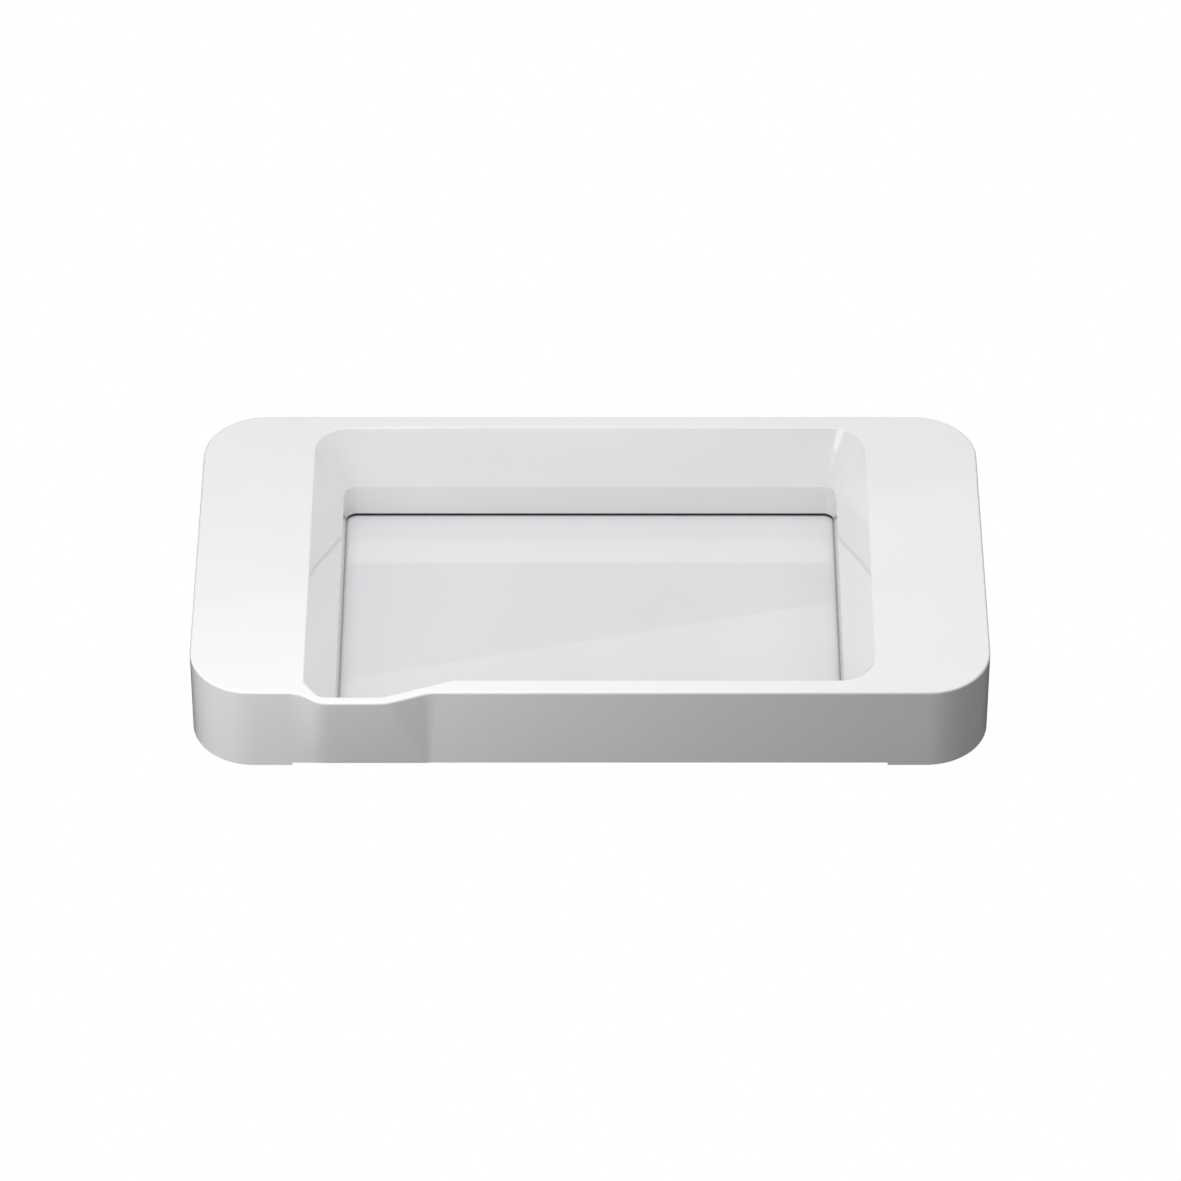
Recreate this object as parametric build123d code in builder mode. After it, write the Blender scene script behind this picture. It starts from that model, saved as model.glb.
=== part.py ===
"""Developing tray: a moulded shell with a sloped basin and a pouring lip, closed below by a base pan.

The origin is on the surface that the tray stands on, under the centre of its outline. X runs along
the tray to the right grip, Y to the back, Z up. Sizes are millimetres.
"""

import os

from build123d import *

os.makedirs("parts", exist_ok=True)

# Outside
tray_length = 500.0
tray_width = 272.0  # without the lip
tray_height = 61.0
outer_corner_radius = 40.0
deck_thickness = 3.0
skirt_wall = 2.8
top_edge_radius = 1.6
edge_steps = 4  # flats that make up each rounded upper edge
bottom_edge_radius = 0.4

# Basin
grip_width = 71.8  # deck left and right of the basin
rim_width = 11.8  # deck in front of the basin and behind it
slope_run = 18.0
slope_drop = 35.3
basin_top_corner_radius = 23.0
basin_corner_radius = 8.0
basin_wall = 2.6
wall_lean = 1.0  # how far in the upright wall's foot stands from its top
basin_edge_radius = 1.2
wall_foot_radius = 0.4

# Pouring lip, with its turns given by their distance to the right of the basin's left edge
lip_reach = 9.8  # past the front of the skirt
lip_rim = 5.65  # rim thickness at the lip
lip_outside_turns = (-1.9, 9.9, 52.0, 79.0)  # out, straight, back, and straight again
lip_outside_radii = (22.5, 17.5, 24.0, 19.0)
lip_bottom_turns = (-1.0, 10.6, 75.7, 78.5)  # the same where the lip dies away at the skirt's bottom
lip_bottom_halves = (6.5, 4.6, 1.0, 1.0)  # half the straight piece that each turn comes down to
lip_inside_turns = (10.0, 49.2, 93.1)
lip_inside_radius = 9.0
lip_root_turns = (80.2, 86.2)  # where the channel's right side ends, at the foot of the slope
channel_start = 1.6  # how far the basin's left side runs on past its front edge
channel_soft_radius = 4.0
channel_root_cut = 3.2  # off the basin's front left corner at the foot of the slope
channel_root_radius = 4.8

# Base
floor_height = 3.3  # top of the basin floor over the surface that the tray stands on
pan_thickness = 2.2
pan_clearance = 0.3
floor_gap = 0.7  # between the floor and the foot of the upright wall
floor_edge_run = 3.6  # rounded edge of the floor, from its flat to the seal
floor_edge_drop = 1.2
foot_length = 63.7  # each end of the skirt that reaches lower
foot_drop = 2.0
pad_proud = 0.5  # pads below the skirt's feet

# Seals
seal_width = 1.8
seal_groove_depth = 0.6  # under the skirt's ledge
basin_seal_setback = 0.6  # from the inside of the basin wall's foot
perimeter_seal_setback = 1.1  # from the inside of the skirt
seal_clearance = 0.05
ledge_width = 3.0
ledge_height = 5.5

# Screws
screw_diameter = 3.5
screw_length = 14.0
screw_head_diameter = 7.6
screw_head_height = 2.4
screw_head_edge = 0.6
drive_slot_length = 4.4
drive_slot_width = 1.1
drive_slot_depth = 1.3
screw_clearance = 0.3
pilot_clearance = 0.05
boss_diameter = 8.0
cup_wall = 1.9
cup_height = 3.8
cup_seat = 2.2
side_screw_offset = 12.2  # from the outside of the basin wall, under the grips
front_screw_inset = 10.2  # first and last screw from the ends of the basin wall
side_screw_inset = 36.2
largest_screw_pitch = 75.0
end_screw_inset = 16.0  # from the end of the tray
corner_screw_inset = 13.0  # from the rounded corner's skirt, along its diagonal

# Ribs
rib_thickness = 2.0
front_rib_bottom = 22.0
grip_rib_bottom = 32.0
locating_rib_height = 2.0
locating_rib_clearance = 0.3

# Foot pads
pad_width = 24.0
pad_length = 60.0
pad_corner_radius = 6.0
pad_depth_in_pan = 0.8
pad_side_inset = 48.0  # pad centre from the front or back
pad_seat_margin = 3.0
pad_clearance = 0.2

# Heights
skirt_foot = pad_proud
skirt_bottom = skirt_foot + foot_drop
pan_bottom = floor_height - pan_thickness
wall_foot = floor_height + floor_gap
slope_foot = tray_height - slope_drop
groove_bottom = floor_height - seal_groove_depth
floor_edge_bottom = floor_height - floor_edge_drop
cup_top = floor_height + cup_height
seat_height = cup_top - cup_seat

# Plan
half_length = tray_length / 2
half_width = tray_width / 2
body_middle = lip_reach / 2  # the lip stands out in front, so the body sits this far back
basin_half_length = half_length - grip_width
basin_half_width = half_width - rim_width
wall_half_length = basin_half_length - slope_run
wall_half_width = basin_half_width - slope_run
slope_wall = basin_wall * (slope_run**2 + slope_drop**2) ** 0.5 / slope_drop
rib_inside = basin_wall + locating_rib_clearance
basin_groove = (basin_seal_setback, basin_seal_setback + seal_width)
perimeter_groove = (
    -skirt_wall - perimeter_seal_setback - seal_width,
    -skirt_wall - perimeter_seal_setback,
)
step_place = half_length - foot_length  # where the skirt's feet begin
split = 1.0  # half the piece that stands in for a turn on a straight side, where no other is given
nearby = 0.01  # how far from its height an edge or a face is still found


def level(height):
    """The horizontal plane at a height, centred on the tray's body."""
    return Plane((0, body_middle, height))


def grown(corners, by):
    """The same outline with every side moved out, and its round turns kept concentric."""
    moved = []
    for index, (x, y, radius) in enumerate(corners):
        corner = Vector(x, y)
        before = (corner - Vector(*corners[index - 1][:2])).normalized()
        after = (Vector(*corners[(index + 1) % len(corners)][:2]) - corner).normalized()
        out_before = Vector(before.Y, -before.X)
        out_after = Vector(after.Y, -after.X)
        shift = (out_before + out_after) * (by / (1 + out_before.dot(out_after)))
        turns_left = before.cross(after).Z
        change = 0 if abs(turns_left) < 1e-9 else (by if turns_left > 0 else -by)
        moved.append((x + shift.X, y + shift.Y, radius + change))
    return moved


def outline(corners):
    """Edges of a closed outline, counter-clockwise, with an arc at each corner.

    A corner on a straight side gets a straight piece instead, half of it given in place of the
    radius, so that two outlines with as many corners can be lofted one to the other.
    """
    turns = []
    for index, (x, y, radius) in enumerate(corners):
        corner = Vector(x, y)
        before = (corner - Vector(*corners[index - 1][:2])).normalized()
        after = (Vector(*corners[(index + 1) % len(corners)][:2]) - corner).normalized()
        turn = before.get_angle(after)
        if turn < 1e-6:
            half = radius or split
            turns.append((corner - before * half, None, corner + after * half))
            continue
        cut = radius * sin_over_cos(turn / 2)
        middle = corner + (after - before).normalized() * (radius / cosine(turn / 2) - radius)
        turns.append((corner - before * cut, middle, corner + after * cut))
    edges = []
    with BuildLine(mode=Mode.PRIVATE):
        for index, (start, middle, end) in enumerate(turns):
            if middle is None:
                edges.append(Line(start, end, mode=Mode.PRIVATE))
            else:
                edges.append(ThreePointArc(start, middle, end, mode=Mode.PRIVATE))
            edges.append(Line(end, turns[(index + 1) % len(turns)][0], mode=Mode.PRIVATE))
    return edges


def tapered(*sections):
    """A solid whose sides run straight from each outline to the next, given as height, corners."""
    faces = [level(height) * make_face(outline(corners)) for height, corners in sections]
    return loft(faces, ruled=True)


def rounded_edge(corners, angle, radius, outward):
    """Sections that round the deck's edge over in a few steps, from its side up to the deck.

    The angle is how far the side is turned down from the deck, and outward is 1 where the deck
    lies outside the outline or -1 where it lies inside.
    """
    tangent = radius * sin_over_cos(angle / 2)
    sections = []
    for step in range(edge_steps, -1, -1):
        turned = angle * step / edge_steps
        height = tray_height - radius * (1 - cosine(turned))
        sections.append((height, grown(corners, outward * (tangent - radius * sine(turned)))))
    return sections


def rounded_foot(corners, radius):
    """Sections that round the lower inside edge of the basin wall, from its bottom face up."""
    sections = []
    for step in range(edge_steps + 1):
        turned = 90 * step / edge_steps
        height = wall_foot + radius * (1 - cosine(turned))
        sections.append((height, grown(corners, radius * (1 - sine(turned)))))
    return sections


def rounded_floor(corners, run, drop):
    """Sections of the floor's rounded edge, from the outline at its bottom up to the flat."""
    angle = 2 * Vector(run, drop).get_angle(Vector(1, 0))
    radius = run / sine(angle)
    sections = []
    for step in range(edge_steps, -1, -1):
        turned = angle * step / edge_steps
        height = floor_height - radius * (1 - cosine(turned))
        sections.append((height, grown(corners, radius * sine(turned) - run)))
    return sections


def sine(degrees):
    return Vector(1, 0).rotate(Axis.Z, degrees).Y


def cosine(degrees):
    return Vector(1, 0).rotate(Axis.Z, degrees).X


def sin_over_cos(degrees):
    return sine(degrees) / cosine(degrees)


def ring(corners, inner, outer):
    """Draws the band between an outline grown by two amounts."""
    make_face(outline(grown(corners, outer)))
    make_face(outline(grown(corners, inner)), mode=Mode.SUBTRACT)


def at_height(shapes, height):
    """The edges or faces whose middle lies at a height."""
    return shapes.filter_by_position(Axis.Z, height - nearby, height + nearby)


def spread(half_span):
    """How many screws a row of this half length takes, and their pitch."""
    count = int(2 * half_span / largest_screw_pitch) + 2
    return count, 2 * half_span / (count - 1)


# Outlines, each a list of corners with their radius, counter-clockwise from the back left.
plain_outline = [
    (-half_length, half_width, outer_corner_radius),
    (-half_length, -half_width, outer_corner_radius),
    (half_length, -half_width, outer_corner_radius),
    (half_length, half_width, outer_corner_radius),
]
lip_outside = [
    (turn - basin_half_length, -half_width - reach, radius)
    for turn, reach, radius in zip(lip_outside_turns, (0, lip_reach, lip_reach, 0), lip_outside_radii)
]
lip_bottom = [
    (turn - basin_half_length, -half_width, half)
    for turn, half in zip(lip_bottom_turns, lip_bottom_halves)
]
skirt_top_outline = plain_outline[:2] + lip_outside + plain_outline[2:]
skirt_bottom_outline = plain_outline[:2] + lip_bottom + plain_outline[2:]

# The basin's left side runs straight into the lip's channel, so its front left corner is cut off.
lip_inside = -half_width - lip_reach + lip_rim
basin_top_outline = [
    (-basin_half_length, basin_half_width, basin_top_corner_radius),
    (-basin_half_length, -basin_half_width - channel_start, channel_soft_radius),
    (lip_inside_turns[0] - basin_half_length, lip_inside, lip_inside_radius),
    (lip_inside_turns[1] - basin_half_length, lip_inside, lip_inside_radius),
    (lip_inside_turns[2] - basin_half_length, -basin_half_width, lip_inside_radius),
    (basin_half_length, -basin_half_width, basin_top_corner_radius),
    (basin_half_length, basin_half_width, basin_top_corner_radius),
]
wall_outline = [
    (-wall_half_length, wall_half_width, basin_corner_radius),
    (-wall_half_length, -wall_half_width + channel_root_cut, channel_root_radius),
    (-wall_half_length + channel_root_cut, -wall_half_width, channel_root_radius),
    (lip_root_turns[0] - basin_half_length, -wall_half_width, 0),
    (lip_root_turns[1] - basin_half_length, -wall_half_width, 0),
    (wall_half_length, -wall_half_width, basin_corner_radius),
    (wall_half_length, wall_half_width, basin_corner_radius),
]

foot_outline = grown(wall_outline, -wall_lean)

# Screw and pad places, from the middle of the body
side_line = wall_half_length + basin_wall + side_screw_offset
front_line = (wall_half_width + basin_wall + half_width - skirt_wall) / 2
end_line = half_length - end_screw_inset
front_count, front_pitch = spread(wall_half_length - front_screw_inset)
side_count, side_pitch = spread(wall_half_width - side_screw_inset)
front_screws = GridLocations(front_pitch, 2 * front_line, front_count, 2)
side_screws = GridLocations(2 * side_line, side_pitch, 2, side_count)
middle_end_screws = GridLocations(2 * end_line, 1, 2, 1)
corner_shift = (outer_corner_radius - skirt_wall - corner_screw_inset) * cosine(45)
corner_x = half_length - outer_corner_radius + corner_shift
corner_y = half_width - outer_corner_radius + corner_shift
corner_end_screws = GridLocations(2 * corner_x, 2 * corner_y, 2, 2)
basin_screw_places = [*front_screws, *side_screws]
end_screw_places = [*middle_end_screws, *corner_end_screws]
all_screw_places = basin_screw_places + end_screw_places
pad_places = GridLocations(side_line + end_line, 2 * (half_width - pad_side_inset), 2, 2)

# Tapered solids: the space inside the basin, the basin with its wall's thickness, the skirt,
# the space inside the skirt, and the basin floor
slope_angle = 90 - Vector(slope_drop, slope_run).get_angle(Vector(1, 0))
basin_space = tapered(
    (skirt_foot, grown(foot_outline, wall_foot_radius)),
    *rounded_foot(foot_outline, wall_foot_radius),
    (slope_foot, wall_outline),
    *rounded_edge(basin_top_outline, slope_angle, basin_edge_radius, 1),
)
basin_block = tapered(
    (wall_foot, grown(foot_outline, basin_wall)),
    (slope_foot, grown(wall_outline, basin_wall)),
    (tray_height, grown(basin_top_outline, slope_wall)),
)
skirt_block = tapered(
    (skirt_foot, skirt_bottom_outline),
    *rounded_edge(skirt_top_outline, 90, top_edge_radius, -1),
)
skirt_inside = tapered(
    (skirt_foot, grown(skirt_bottom_outline, -skirt_wall)),
    (tray_height, grown(skirt_top_outline, -skirt_wall)),
)

floor_block = tapered(
    *rounded_floor(grown(foot_outline, basin_groove[0]), floor_edge_run, floor_edge_drop),
)

# The hollow between skirt, deck and basin, with its ribs and bosses left standing.
with BuildPart() as hollow:
    add(skirt_inside)
    with BuildSketch(level(tray_height)):
        Rectangle(2 * tray_length, 2 * tray_width)
    extrude(amount=-deck_thickness, mode=Mode.SUBTRACT)
    add(basin_block, mode=Mode.SUBTRACT)
    with BuildSketch(level(wall_foot)):
        Rectangle(2 * tray_length, 2 * tray_width)
        make_face(outline(grown(plain_outline, -skirt_wall - ledge_width)), mode=Mode.SUBTRACT)
    extrude(amount=ledge_height, mode=Mode.SUBTRACT)
    with BuildSketch(level(front_rib_bottom)):
        with front_screws:
            Rectangle(rib_thickness, 2 * (rim_width + slope_run))
    extrude(amount=tray_height, mode=Mode.SUBTRACT)
    with BuildSketch(level(grip_rib_bottom)):
        with side_screws:
            Rectangle(3 * grip_width, rib_thickness)
    extrude(amount=tray_height, mode=Mode.SUBTRACT)
    with BuildSketch(level(cup_top)):
        with Locations(all_screw_places):
            Circle(boss_diameter / 2)
    extrude(amount=tray_height, mode=Mode.SUBTRACT)

with BuildPart() as top_shell:
    add(skirt_block)
    with BuildSketch(level(skirt_foot)):
        Rectangle(2 * step_place, 2 * tray_width)
    extrude(amount=foot_drop, mode=Mode.SUBTRACT)
    foot_edges = at_height(top_shell.edges(), skirt_foot)
    raised_edges = at_height(top_shell.edges(), skirt_bottom)
    inner_span = (-step_place - nearby, step_place + nearby)
    step_edges = (foot_edges + raised_edges).filter_by(Axis.Y).filter_by_position(Axis.X, *inner_span)
    fillet(foot_edges + raised_edges - step_edges, bottom_edge_radius)
    add(basin_space, mode=Mode.SUBTRACT)
    add(hollow.part, mode=Mode.SUBTRACT)
    with BuildSketch(level(cup_top)):
        with Locations(all_screw_places):
            Circle(screw_diameter / 2 + pilot_clearance)
    extrude(amount=screw_length, mode=Mode.SUBTRACT)
top_shell.part.label = "top_shell"

with BuildPart() as base_pan:
    with BuildSketch(level(pan_bottom)):
        make_face(outline(grown(plain_outline, -skirt_wall - pan_clearance)))
    extrude(amount=pan_thickness)
    # a low rib that keeps the upright wall on its seal
    with BuildSketch(level(floor_height)):
        ring(foot_outline, rib_inside, rib_inside + rib_thickness)
    extrude(amount=locating_rib_height)
    # screw cups and pad seats
    with BuildSketch(level(floor_height)):
        with Locations(all_screw_places):
            Circle(screw_head_diameter / 2 + screw_clearance + cup_wall)
    extrude(amount=cup_height)
    with BuildSketch(level(floor_height)):
        with pad_places:
            RectangleRounded(
                pad_width + 2 * pad_seat_margin,
                pad_length + 2 * pad_seat_margin,
                pad_corner_radius + pad_seat_margin,
            )
    extrude(amount=pad_depth_in_pan)
    with BuildSketch(level(pan_bottom)):
        with pad_places:
            RectangleRounded(
                pad_width + 2 * pad_clearance,
                pad_length + 2 * pad_clearance,
                pad_corner_radius + pad_clearance,
            )
    extrude(amount=pad_depth_in_pan, mode=Mode.SUBTRACT)
    # screw holes from below
    with BuildSketch(level(pan_bottom)):
        with Locations(all_screw_places):
            Circle(screw_head_diameter / 2 + screw_clearance)
    extrude(amount=seat_height - pan_bottom, mode=Mode.SUBTRACT)
    with BuildSketch(level(pan_bottom)):
        with Locations(all_screw_places):
            Circle(screw_diameter / 2 + screw_clearance)
    extrude(amount=tray_height, mode=Mode.SUBTRACT)
    # a groove for the outer seal, and a pocket for the basin seal and the floor with its rounded edge
    with BuildSketch(level(groove_bottom)):
        ring(plain_outline, *perimeter_groove)
    extrude(amount=seal_groove_depth, mode=Mode.SUBTRACT)
    with BuildSketch(level(floor_edge_bottom)):
        make_face(outline(grown(foot_outline, basin_groove[1])))
    extrude(amount=floor_edge_drop, mode=Mode.SUBTRACT)
    add(floor_block)
base_pan.part.label = "base_pan"

with BuildPart() as basin_seal:
    with BuildSketch(level(floor_edge_bottom)):
        ring(foot_outline, basin_groove[0] + seal_clearance, basin_groove[1] - seal_clearance)
    extrude(amount=wall_foot - floor_edge_bottom)
basin_seal.part.label = "basin_seal"

with BuildPart() as perimeter_seal:
    with BuildSketch(level(groove_bottom)):
        ring(plain_outline, perimeter_groove[0] + seal_clearance, perimeter_groove[1] - seal_clearance)
    extrude(amount=wall_foot - groove_bottom)
perimeter_seal.part.label = "perimeter_seal"


def screws(places):
    """Self-tapping screws, heads down, one at each place."""
    with BuildPart() as group:
        with BuildSketch(level(seat_height)):
            with Locations(places):
                Circle(screw_diameter / 2)
        extrude(amount=screw_length)
        with BuildSketch(level(seat_height)):
            with Locations(places):
                Circle(screw_head_diameter / 2)
        extrude(amount=-screw_head_height)
        fillet(group.edges().group_by(Axis.Z)[0], screw_head_edge)
        with BuildSketch(level(seat_height - screw_head_height)):
            with Locations(places):
                Rectangle(drive_slot_length, drive_slot_width)
                Rectangle(drive_slot_width, drive_slot_length)
        extrude(amount=drive_slot_depth, mode=Mode.SUBTRACT)
    return group.part


basin_screws = screws(basin_screw_places)
basin_screws.label = "basin_screws"
end_screws = screws(end_screw_places)
end_screws.label = "end_screws"

pads = {}
for name, place in zip(("back_left", "back_right", "front_left", "front_right"), pad_places):
    with BuildPart() as pad:
        with BuildSketch(level(0)):
            with Locations(place):
                RectangleRounded(pad_width, pad_length, pad_corner_radius)
        extrude(amount=pan_bottom + pad_depth_in_pan)
    pads[name + "_pad"] = pad.part

export_step(top_shell.part, "parts/top_shell.step")
export_step(base_pan.part, "parts/base_pan.step")
export_step(basin_seal.part, "parts/basin_seal.step")
export_step(perimeter_seal.part, "parts/perimeter_seal.step")
export_step(basin_screws, "parts/basin_screws.step")
export_step(end_screws, "parts/end_screws.step")
for name, pad_part in pads.items():
    pad_part.label = name
    export_step(pad_part, f"parts/{name}.step")
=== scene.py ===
import math

import bmesh
import bpy
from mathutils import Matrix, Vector


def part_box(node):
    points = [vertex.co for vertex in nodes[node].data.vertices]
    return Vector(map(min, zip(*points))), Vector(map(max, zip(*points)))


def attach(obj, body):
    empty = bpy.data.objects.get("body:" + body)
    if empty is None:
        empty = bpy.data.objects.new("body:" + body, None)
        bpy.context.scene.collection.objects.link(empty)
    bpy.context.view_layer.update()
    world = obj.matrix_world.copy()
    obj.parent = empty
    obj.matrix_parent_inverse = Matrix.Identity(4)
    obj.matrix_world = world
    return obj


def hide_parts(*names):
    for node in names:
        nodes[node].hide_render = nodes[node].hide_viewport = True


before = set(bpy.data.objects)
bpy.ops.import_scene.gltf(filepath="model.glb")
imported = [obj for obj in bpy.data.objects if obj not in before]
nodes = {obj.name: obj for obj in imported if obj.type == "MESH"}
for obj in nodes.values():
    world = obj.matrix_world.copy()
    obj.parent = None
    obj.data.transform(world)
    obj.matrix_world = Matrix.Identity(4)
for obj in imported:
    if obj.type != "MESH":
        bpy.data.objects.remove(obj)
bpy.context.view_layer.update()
MM = 0.001


shell_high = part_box("top_shell")[1]
pan_low, pan_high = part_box("base_pan")
body_middle = (pan_low.y + pan_high.y) / 2  # the lip stands out in front, so this lies behind the origin

# Camera: a long lens from well in front, looking down at about forty degrees
VIEW_ANGLE = math.radians(40.586)  # below the horizon
VIEW_DISTANCE = 4.0509  # from the point looked at
VIEW_MIDDLE = 38.57 * MM  # the point looked at, in front of the body's middle, at the deck's height
SENSOR_WIDTH = 36.0
FOCAL_LENGTH = 195.61
SIDE_SHIFT = 0.0004


def make_camera():
    target = Vector((0, body_middle - VIEW_MIDDLE, shell_high.z))
    data = bpy.data.cameras.new("camera")
    data.sensor_width = SENSOR_WIDTH
    data.lens = FOCAL_LENGTH
    data.shift_x = SIDE_SHIFT
    camera = bpy.data.objects.new("camera", data)
    back = Vector((0, -math.cos(VIEW_ANGLE), math.sin(VIEW_ANGLE)))
    camera.location = target + back * VIEW_DISTANCE
    camera.rotation_euler = (math.pi / 2 - VIEW_ANGLE, 0, 0)
    bpy.context.scene.collection.objects.link(camera)
    bpy.context.scene.camera = camera


make_camera()

# ---- Materials -------------------------------------------------------------------------------


def add_node(tree, kind, inputs):
    """Adds a node to the tree and gives each input named a link, or else a plain value."""
    node = tree.nodes.new(kind)
    for socket, source in inputs.items():
        if isinstance(source, bpy.types.NodeSocket):
            tree.links.new(source, node.inputs[socket])
        else:
            node.inputs[socket].default_value = source
    return node


NOISE_START, NOISE_END = 0.3, 0.7  # the part of a noise that a pattern spreads; beyond it the ends hold


class Finish:
    """A surface finish under construction: its principled shader and the patterns that drive it."""

    def __init__(self, name, colour, roughness, **sockets):
        self.material = bpy.data.materials.new(name)
        self.material.use_nodes = True
        self.tree = self.material.node_tree
        self.shader = self.tree.nodes["Principled BSDF"]
        self.shader.inputs["Base Color"].default_value = (*colour, 1)
        self.shader.inputs["Roughness"].default_value = roughness
        for socket, value in sockets.items():
            self.shader.inputs[socket.replace("_", " ")].default_value = value
        self.place = self.tree.nodes.new("ShaderNodeTexCoord").outputs["Object"]
        self.relief = None

    def grain(self, size, detail, stretch=(1, 1, 1)):
        """Cloudy noise, from 0 to 1, whose blotches measure about the size given."""
        scaled = add_node(self.tree, "ShaderNodeMapping", {"Vector": self.place, "Scale": stretch})
        inputs = {"Vector": scaled.outputs["Vector"], "Scale": 1 / size, "Detail": detail}
        return add_node(self.tree, "ShaderNodeTexNoise", inputs).outputs["Fac"]

    def between(self, pattern, low, high):
        """The pattern spread from one value to another."""
        return add_node(self.tree, "ShaderNodeMapRange", {
            "Value": pattern, "From Min": NOISE_START, "From Max": NOISE_END, "To Min": low, "To Max": high,
        }).outputs["Result"]

    def tint(self, pattern, first, second):
        """Colours the surface from the first colour to the second, as the pattern goes."""
        ramp = add_node(self.tree, "ShaderNodeValToRGB", {"Fac": pattern})
        ends = ((NOISE_START, first), (NOISE_END, second))
        for element, (position, colour) in zip(ramp.color_ramp.elements, ends):
            element.position = position
            element.color = (*colour, 1)
        self.tree.links.new(ramp.outputs["Color"], self.shader.inputs["Base Color"])

    def rough(self, value):
        self.tree.links.new(value, self.shader.inputs["Roughness"])

    def bump(self, pattern, depth, strength=1.0):
        """Raises the surface by the pattern, its full height being the depth, over earlier bumps."""
        inputs = {"Height": pattern, "Distance": depth, "Strength": strength}
        if self.relief is not None:
            inputs["Normal"] = self.relief
        self.relief = add_node(self.tree, "ShaderNodeBump", inputs).outputs["Normal"]
        self.tree.links.new(self.relief, self.shader.inputs["Normal"])


def shell_plastic():
    """Glossy white moulding with a faint orange peel, and a polish that isn't quite even."""
    finish = Finish("white_shell_plastic", (0.87, 0.87, 0.87), 0.04, IOR=1.49)
    cloud = finish.grain(90 * MM, 3)
    finish.tint(cloud, (0.872, 0.872, 0.87), (0.888, 0.888, 0.89))
    finish.rough(finish.between(finish.grain(25 * MM, 5), 0.03, 0.06))
    finish.bump(finish.grain(6 * MM, 1), 0.006 * MM, 0.6)
    finish.bump(finish.grain(0.5 * MM, 2), 0.0015 * MM, 0.5)
    return finish.material


def floor_plastic():
    """The basin floor: a cooler white, polished like glass, with faint wipe marks."""
    finish = Finish("white_floor_plastic", (0.742, 0.750, 0.765), 0.01, IOR=1.7)
    cloud = finish.grain(70 * MM, 3)
    finish.tint(cloud, (0.735, 0.743, 0.758), (0.749, 0.757, 0.772))
    wiped = finish.grain(12 * MM, 4, (0.25, 1, 1))
    finish.rough(finish.between(wiped, 0.004, 0.014))
    finish.bump(finish.grain(30 * MM, 1), 0.002 * MM, 0.5)
    return finish.material


def seal_rubber():
    finish = Finish("black_seal_rubber", (0.02, 0.02, 0.02), 0.5)
    finish.tint(finish.grain(2 * MM, 4), (0.016, 0.016, 0.017), (0.03, 0.03, 0.031))
    finish.rough(finish.between(finish.grain(1.5 * MM, 3), 0.42, 0.6))
    finish.bump(finish.grain(0.3 * MM, 2), 0.01 * MM)
    return finish.material


def pad_rubber():
    finish = Finish("grey_pad_rubber", (0.12, 0.12, 0.12), 0.75)
    finish.tint(finish.grain(1.2 * MM, 5), (0.10, 0.10, 0.102), (0.15, 0.15, 0.148))
    finish.rough(finish.between(finish.grain(3 * MM, 4), 0.65, 0.85))
    finish.bump(finish.grain(0.4 * MM, 3), 0.03 * MM)
    return finish.material


def screw_steel():
    """Stainless steel with the fine turning marks of the heading die."""
    finish = Finish("screw_steel", (0.60, 0.59, 0.57), 0.3, Metallic=1.0)
    finish.tint(finish.grain(2.5 * MM, 3), (0.55, 0.545, 0.53), (0.64, 0.635, 0.62))
    turned = finish.grain(0.4 * MM, 3, (1, 1, 6))
    finish.rough(finish.between(turned, 0.22, 0.4))
    finish.bump(turned, 0.004 * MM)
    return finish.material


WHITE_SHELL = shell_plastic()
WHITE_FLOOR = floor_plastic()
BLACK_RUBBER = seal_rubber()
GREY_RUBBER = pad_rubber()
STEEL = screw_steel()

# ---- Pieces ----------------------------------------------------------------------------------


def finished(name, mesh, slot, *replaced):
    """Links a piece that rides on the tray and stands for the CAD nodes given."""
    piece = bpy.data.objects.new(name, mesh)
    bpy.context.scene.collection.objects.link(piece)
    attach(piece, "root")
    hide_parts(*replaced)


def worked(mesh, *modifiers):
    """The mesh as the modifiers leave it, each given as its kind and its settings."""
    blank = bpy.data.objects.new("blank", mesh)
    bpy.context.scene.collection.objects.link(blank)
    for kind, settings in modifiers:
        modifier = blank.modifiers.new(kind.lower(), kind)
        for name, value in settings.items():
            if name.startswith("Socket_"):
                modifier[name] = value
            else:
                setattr(modifier, name, value)
    bpy.context.view_layer.update()
    evaluated = blank.evaluated_get(bpy.context.evaluated_depsgraph_get())
    result = bpy.data.meshes.new_from_object(evaluated)
    bpy.data.objects.remove(blank)
    return result


SHARP_ANGLE = math.radians(23.5)  # past this an edge stays a crease, and below it the shading runs round
MERGE_DISTANCE = 0.002 * MM
SLOPE_DROP = 35.3 * MM  # from the deck down to the crease between the slope and the upright wall
slope_foot = shell_high.z - SLOPE_DROP


def moulded(node):
    """A copy of a CAD node's mesh, welded, whose roundings shade as smooth curves.

    A few short edges near the corners of the slope's foot turn less than the sharp angle, so
    every edge at that height is made a crease.
    """
    mesh = nodes[node].data.copy()
    if "custom_normal" in mesh.attributes:
        mesh.attributes.remove(mesh.attributes["custom_normal"])
    welded = bmesh.new()
    welded.from_mesh(mesh)
    bmesh.ops.remove_doubles(welded, verts=welded.verts, dist=MERGE_DISTANCE)
    for edge in welded.edges:
        at_slope_foot = all(abs(corner.co.z - slope_foot) < MERGE_DISTANCE for corner in edge.verts)
        shallow = len(edge.link_faces) == 2 and edge.calc_face_angle() < SHARP_ANGLE
        edge.smooth = shallow and not at_slope_foot
    for face in welded.faces:
        face.smooth = True
        face.material_index = 0
    welded.to_mesh(mesh)
    welded.free()
    mesh.materials.clear()
    return worked(mesh, ("WEIGHTED_NORMAL", {"mode": "FACE_AREA", "keep_sharp": True, "weight": 50}))


shell_mesh = moulded("top_shell")
shell_mesh.materials.append(WHITE_SHELL)
finished("white_shell", shell_mesh, "shell_plastic", "top_shell")

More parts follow.
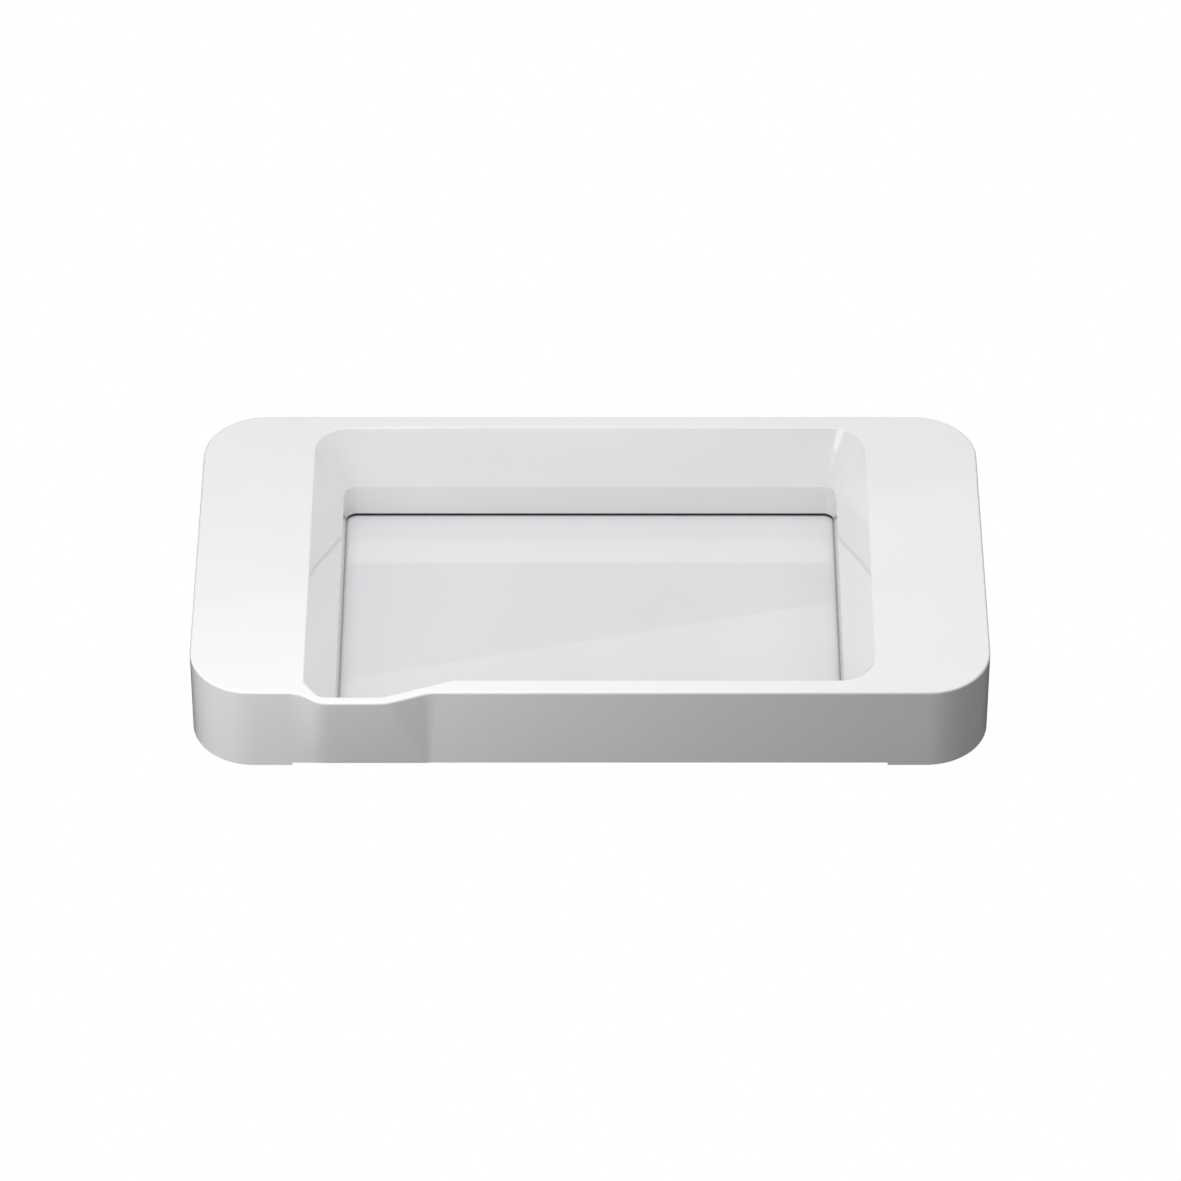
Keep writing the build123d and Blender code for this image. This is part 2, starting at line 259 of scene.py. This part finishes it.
pan_mesh = moulded("base_pan")
pan_mesh.materials.append(WHITE_FLOOR)
finished("white_floor", pan_mesh, "floor_plastic", "base_pan")


def wear(name, material):
    for slot in nodes[name].material_slots:
        slot.material = material


wear("basin_seal", BLACK_RUBBER)
wear("perimeter_seal", BLACK_RUBBER)


def stacked(name, rings):
    """A closed mesh through rings of points, each with as many points, capped at both ends."""
    built = bmesh.new()
    loops = [[built.verts.new(point) for point in ring] for ring in rings]
    count = len(loops[0])
    for lower, upper in zip(loops, loops[1:]):
        for i in range(count):
            j = (i + 1) % count
            built.faces.new((lower[i], lower[j], upper[j], upper[i]))
    built.faces.new(reversed(loops[0]))
    built.faces.new(loops[-1])
    mesh = bpy.data.meshes.new(name)
    built.to_mesh(mesh)
    built.free()
    return mesh


# Screws: one is made, and Geometry Nodes sets a copy at each place
SCREW_SIDES = 24
SCREW_HEAD_RINGS = (  # height over the head's outer face, radius
    (0.0, 2.5), (0.1, 3.0), (0.3, 3.4), (0.65, 3.68), (1.1, 3.8), (2.25, 3.8), (2.4, 3.65),
)
SCREW_NECK_RINGS = ((2.4, 1.75), (3.2, 1.7))
SCREW_CORE_RADIUS = 1.35
SCREW_THREAD_DEPTH = 0.38
RIDGE_HALF_WIDTH = 0.25  # as a share of the pitch
SCREW_PITCH = 1.3
SCREW_STEPS_PER_TURN = 8
SCREW_THREAD_START, SCREW_THREAD_END = 3.4, 14.6
SCREW_TIP_RINGS = ((15.4, 0.9), (16.3, 0.3))
CROSS_ARM_LENGTH, CROSS_ARM_WIDTH = 4.4, 1.1
CROSS_SECTIONS = ((-0.5, 1.05), (0, 1), (1.3, 0.55))  # height into the head, share of the full cross


def screw_ring(height, radius_at):
    ring = []
    for side in range(SCREW_SIDES):
        angle = 2 * math.pi * side / SCREW_SIDES
        radius = radius_at(angle) * MM
        ring.append((radius * math.cos(angle), radius * math.sin(angle), height * MM))
    return ring


def thread_radius(height, angle):
    """Core radius plus a ridge that climbs one pitch in a turn."""
    turn = (height / SCREW_PITCH - angle / (2 * math.pi)) % 1
    ridge = max(0.0, 1 - abs(turn - 0.5) / RIDGE_HALF_WIDTH)
    ends = min(height - SCREW_THREAD_START, SCREW_THREAD_END - height) / SCREW_PITCH
    return SCREW_CORE_RADIUS + SCREW_THREAD_DEPTH * ridge * min(1.0, max(0.0, ends))


def one_screw():
    rings = [screw_ring(h, lambda angle, r=r: r) for h, r in SCREW_HEAD_RINGS + SCREW_NECK_RINGS]
    steps = round((SCREW_THREAD_END - SCREW_THREAD_START) / SCREW_PITCH * SCREW_STEPS_PER_TURN)
    for step in range(steps + 1):
        height = SCREW_THREAD_START + (SCREW_THREAD_END - SCREW_THREAD_START) * step / steps
        rings.append(screw_ring(height, lambda angle, h=height: thread_radius(h, angle)))
    rings += [screw_ring(h, lambda angle, r=r: r) for h, r in SCREW_TIP_RINGS]
    blank = stacked("screw_blank", rings)
    cutter = bpy.data.objects.new("cross_cutter", cross_cutter())
    bpy.context.scene.collection.objects.link(cutter)
    result = worked(blank, ("BOOLEAN", {"operation": "DIFFERENCE", "object": cutter, "solver": "EXACT"}))
    bpy.data.objects.remove(cutter)
    return result


def cross_cutter():
    """A cross that narrows as it goes in, for the driver."""
    long, wide = CROSS_ARM_LENGTH / 2, CROSS_ARM_WIDTH / 2

    def cross(height, share):
        quarter = [(wide, -wide), (long, -wide), (long, wide)]
        points = []
        for turn in range(4):
            c, s = ((1, 0), (0, 1), (-1, 0), (0, -1))[turn]
            points += [((x * c - y * s) * share, (x * s + y * c) * share) for x, y in quarter]
        return [(x * MM, y * MM, height * MM) for x, y in points]

    return stacked("cross", [cross(height, share) for height, share in CROSS_SECTIONS])


def input_socket(tree, name, kind):
    return tree.interface.new_socket(name, in_out="INPUT", socket_type=kind).identifier


def start_tree(name):
    tree = bpy.data.node_groups.new(name, "GeometryNodeTree")
    tree.interface.new_socket("Geometry", in_out="INPUT", socket_type="NodeSocketGeometry")
    tree.interface.new_socket("Geometry", in_out="OUTPUT", socket_type="NodeSocketGeometry")
    return tree


def finish_tree(tree, geometry, material):
    real = add_node(tree, "GeometryNodeRealizeInstances", {"Geometry": geometry})
    dressed = add_node(tree, "GeometryNodeSetMaterial", {"Geometry": real.outputs[0], "Material": material})
    output = tree.nodes.new("NodeGroupOutput")
    tree.links.new(dressed.outputs[0], output.inputs[0])


TURN_SEED = 4
MOST_TURN = math.pi / 2  # a cross looks the same again after a quarter turn


def screw_tree():
    """Sets the screw at every point, each turned to where the driver happened to leave it."""
    tree = start_tree("set_screws")
    screw = input_socket(tree, "Screw", "NodeSocketObject")
    most = input_socket(tree, "Most turn", "NodeSocketFloat")
    given = tree.nodes.new("NodeGroupInput")
    source = add_node(tree, "GeometryNodeObjectInfo", {"Object": given.outputs["Screw"]})
    turn = tree.nodes.new("FunctionNodeRandomValue")
    turn.data_type = "FLOAT"
    turn.inputs["Seed"].default_value = TURN_SEED
    tree.links.new(given.outputs["Most turn"], turn.inputs[3])
    spin = add_node(tree, "ShaderNodeCombineXYZ", {"Z": turn.outputs[1]})
    places = add_node(tree, "GeometryNodeMeshToPoints", {"Mesh": given.outputs["Geometry"]})
    copies = add_node(tree, "GeometryNodeInstanceOnPoints", {
        "Points": places.outputs[0], "Instance": source.outputs["Geometry"], "Rotation": spin.outputs[0],
    })
    finish_tree(tree, copies.outputs[0], STEEL)
    return tree, screw, most


def points_mesh(name, places):
    mesh = bpy.data.meshes.new(name)
    mesh.from_pydata(places, [], [])
    return mesh


FRONT_SCREWS, FRONT_ROW_HALF = 6, 150 * MM
SIDE_SCREWS, SIDE_ROW_HALF = 3, 70 * MM
SCREW_HEAD_RADIUS = 3.8 * MM
CORNER_SCREW_X = 227.11 * MM


def spread(count, half):
    """Even places from minus half to half."""
    return [-half + 2 * half * i / (count - 1) for i in range(count)]


def screw_places():
    """The places of the screws round the basin, and of those under the two grips."""
    low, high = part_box("basin_screws")
    side_x, row_y = high.x - SCREW_HEAD_RADIUS, (high.y - low.y) / 2 - SCREW_HEAD_RADIUS
    row, side = spread(FRONT_SCREWS, FRONT_ROW_HALF), spread(SIDE_SCREWS, SIDE_ROW_HALF)
    basin = [(x, body_middle + s * row_y, low.z) for s in (-1, 1) for x in row]
    basin += [(s * side_x, body_middle + y, low.z) for s in (-1, 1) for y in side]
    low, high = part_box("end_screws")
    end_x, corner_y = high.x - SCREW_HEAD_RADIUS, (high.y - low.y) / 2 - SCREW_HEAD_RADIUS
    ends = [(s * end_x, body_middle, low.z) for s in (-1, 1)]
    ends += [(s * CORNER_SCREW_X, body_middle + t * corner_y, low.z) for s in (-1, 1) for t in (-1, 1)]
    return basin, ends


def set_screws():
    tree, screw_input, turn_input = screw_tree()
    screw = bpy.data.objects.new("one_screw", one_screw())
    bpy.context.scene.collection.objects.link(screw)
    for node, places in zip(("basin_screws", "end_screws"), screw_places()):
        settings = {"node_group": tree, screw_input: screw, turn_input: MOST_TURN}
        mesh = worked(points_mesh(node + "_places", places), ("NODES", settings))
        finished("steel_" + node, mesh, "screw_steel", node)
    bpy.data.objects.remove(screw)


set_screws()

# Foot pads: a soft plate with rounded edges, and grip ribs under it
PAD_CORNER_RADIUS = 6.0 * MM
PAD_RINGS = ((0.35, 0.5), (0.45, 0.2), (0.7, 0.0), (1.7, 0.0), (1.9, 0.2))  # height, set in, mm
PAD_RIBS, PAD_RIB_PITCH, PAD_RIB_RADIUS, PAD_RIB_SIDES = 13, 4.2 * MM, 0.6 * MM, 12
PAD_RIB_LENGTH = 20.0 * MM
CORNER_STEPS = 8


def rounded_rectangle(centre, half_x, half_y, radius, height):
    ring = []
    for quarter, (sx, sy) in enumerate(((1, 1), (-1, 1), (-1, -1), (1, -1))):
        for step in range(CORNER_STEPS + 1):
            angle = math.pi / 2 * (quarter + step / CORNER_STEPS)
            x = centre.x + sx * (half_x - radius) + radius * math.cos(angle)
            y = centre.y + sy * (half_y - radius) + radius * math.sin(angle)
            ring.append((x, y, height))
    return ring


def rib_tree():
    """Adds a row of half-round ribs under the pad that comes in."""
    tree = start_tree("grip_ribs")
    count = input_socket(tree, "Ribs", "NodeSocketInt")
    first = input_socket(tree, "First rib", "NodeSocketVector")
    pitch = input_socket(tree, "Pitch", "NodeSocketFloat")
    length = input_socket(tree, "Rib length", "NodeSocketFloat")
    radius = input_socket(tree, "Rib radius", "NodeSocketFloat")
    given = tree.nodes.new("NodeGroupInput")
    step = add_node(tree, "ShaderNodeCombineXYZ", {"Y": given.outputs["Pitch"]})
    row = add_node(tree, "GeometryNodeMeshLine", {
        "Count": given.outputs["Ribs"],
        "Start Location": given.outputs["First rib"],
        "Offset": step.outputs[0],
    })
    end = add_node(tree, "ShaderNodeCombineXYZ", {"X": given.outputs["Rib length"]})
    spine = add_node(tree, "GeometryNodeCurvePrimitiveLine", {"End": end.outputs[0]})
    section = add_node(tree, "GeometryNodeCurvePrimitiveCircle", {
        "Resolution": PAD_RIB_SIDES, "Radius": given.outputs["Rib radius"],
    })
    rib = add_node(tree, "GeometryNodeCurveToMesh", {
        "Curve": spine.outputs[0], "Profile Curve": section.outputs[0], "Fill Caps": True,
    })
    ribs = add_node(tree, "GeometryNodeInstanceOnPoints", {
        "Points": row.outputs[0], "Instance": rib.outputs[0],
    })
    joined = tree.nodes.new("GeometryNodeJoinGeometry")
    tree.links.new(ribs.outputs[0], joined.inputs[0])
    tree.links.new(given.outputs["Geometry"], joined.inputs[0])
    finish_tree(tree, joined.outputs[0], GREY_RUBBER)
    return tree, dict(count=count, first=first, pitch=pitch, length=length, radius=radius)


def foot_pads():
    tree, inputs = rib_tree()
    for node in ("front_left_pad", "front_right_pad", "back_left_pad", "back_right_pad"):
        low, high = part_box(node)
        middle = (low + high) / 2
        half = (high - low) / 2
        plate = stacked(node + "_plate", [
            rounded_rectangle(middle, half.x - inset * MM, half.y - inset * MM,
                              PAD_CORNER_RADIUS - inset * MM, low.z + height * MM)
            for height, inset in PAD_RINGS
        ])
        row_start = middle.y - PAD_RIB_PITCH * (PAD_RIBS - 1) / 2
        settings = {
            "node_group": tree, inputs["count"]: PAD_RIBS, inputs["pitch"]: PAD_RIB_PITCH,
            inputs["first"]: (middle.x - PAD_RIB_LENGTH / 2, row_start, low.z + PAD_RIB_RADIUS),
            inputs["length"]: PAD_RIB_LENGTH, inputs["radius"]: PAD_RIB_RADIUS,
        }
        mesh = worked(plate, ("NODES", settings))
        for face in mesh.polygons:
            face.use_smooth = False
        finished("grey_" + node, mesh, "pad_rubber", node)


foot_pads()

# ---- Studio ----------------------------------------------------------------------------------


def softbox(name, centre, aim, width, height, radiance):
    """A rectangular light that the camera doesn't see. Its size doesn't change its brightness."""
    data = bpy.data.lights.new(name, "AREA")
    data.shape = "RECTANGLE"
    data.size = width
    data.size_y = height
    data.energy = radiance * math.pi * width * height
    light = bpy.data.objects.new(name, data)
    light.location = centre
    direction = Vector(aim) - Vector(centre)
    light.rotation_euler = direction.to_track_quat("-Z", "Y").to_euler()
    light.visible_camera = False
    bpy.context.scene.collection.objects.link(light)
    return light


def around(azimuth, elevation, distance):
    """A place round the tray: azimuth 0 is in front of it, 90 to its right."""
    turn, rise = math.radians(azimuth), math.radians(elevation)
    flat = distance * math.cos(rise)
    return Vector((flat * math.sin(turn), -flat * math.cos(turn), distance * math.sin(rise)))


TRAY_MIDDLE = Vector((0, 0, 0.03))
FAR = 2.5  # from the origin to the two lights that stand well off
softbox("ceiling_panel", (0, 0.35, 2.3), (0, 0.35, 0), 2.2, 1.7, 2.05)
softbox("left_high", around(300, 35, FAR), TRAY_MIDDLE, 1.1, 0.9, 1.74)
softbox("right_high", around(90, 50, FAR), TRAY_MIDDLE, 1.1, 0.9, 1.39)
softbox("left_bench", (-0.55, -0.35, 0.06), TRAY_MIDDLE, 0.25, 0.1, 5.25)
softbox("left_corner", (-0.45, -0.6, 0.06), TRAY_MIDDLE, 0.3, 0.1, 1.3)
softbox("front_close", (-0.25, -0.5, 0.4), TRAY_MIDDLE, 0.3, 0.3, 3.64)

# The panel behind stands on a slope, so that its reflection crosses the basin floor at an angle
BACK_ROLL = math.atan(0.218)
BACK_EDGE = Vector((0, 1.25, 1.105))  # the middle of its lower edge
BACK_WIDTH, BACK_HEIGHT = 3.0, 1.3
back_centre = BACK_EDGE + Vector((math.sin(BACK_ROLL), 0, math.cos(BACK_ROLL))) * (BACK_HEIGHT / 2)
back = softbox("behind", back_centre, (back_centre.x, 0, back_centre.z), BACK_WIDTH, BACK_HEIGHT, 0.45)
back.rotation_euler.rotate_axis("Z", BACK_ROLL)

WORLD_STRENGTH = 0.36
world = bpy.data.worlds.new("studio")
world.use_nodes = True
world.node_tree.nodes["Background"].inputs["Color"].default_value = (1, 1, 1, 1)
world.node_tree.nodes["Background"].inputs["Strength"].default_value = WORLD_STRENGTH
bpy.context.scene.world = world
bpy.context.scene.view_settings.view_transform = "Standard"

GROUND_SIZE = 20
bpy.ops.mesh.primitive_plane_add(size=GROUND_SIZE)
ground = bpy.context.object
ground.name = "ground"

GROUND_SHADE = (0.03, 0.03, 0.03, 1)  # nearly black, for every ray but the camera's


def ground_material():
    """Pure white to the camera and nearly black to all other rays, so it isn't a plain pale floor.

    It casts almost no light back at the tray, and takes no shadow that the camera could see.
    """
    material = bpy.data.materials.new("ground")
    material.use_nodes = True
    tree = material.node_tree
    tree.nodes.clear()
    output = tree.nodes.new("ShaderNodeOutputMaterial")
    mix = tree.nodes.new("ShaderNodeMixShader")
    seen = tree.nodes.new("ShaderNodeLightPath")
    white = tree.nodes.new("ShaderNodeEmission")
    shaded = tree.nodes.new("ShaderNodeBsdfDiffuse")
    shaded.inputs["Color"].default_value = GROUND_SHADE
    tree.links.new(seen.outputs["Is Camera Ray"], mix.inputs["Fac"])
    tree.links.new(shaded.outputs[0], mix.inputs[1])
    tree.links.new(white.outputs[0], mix.inputs[2])
    tree.links.new(mix.outputs[0], output.inputs["Surface"])
    return material


ground.data.materials.append(ground_material())
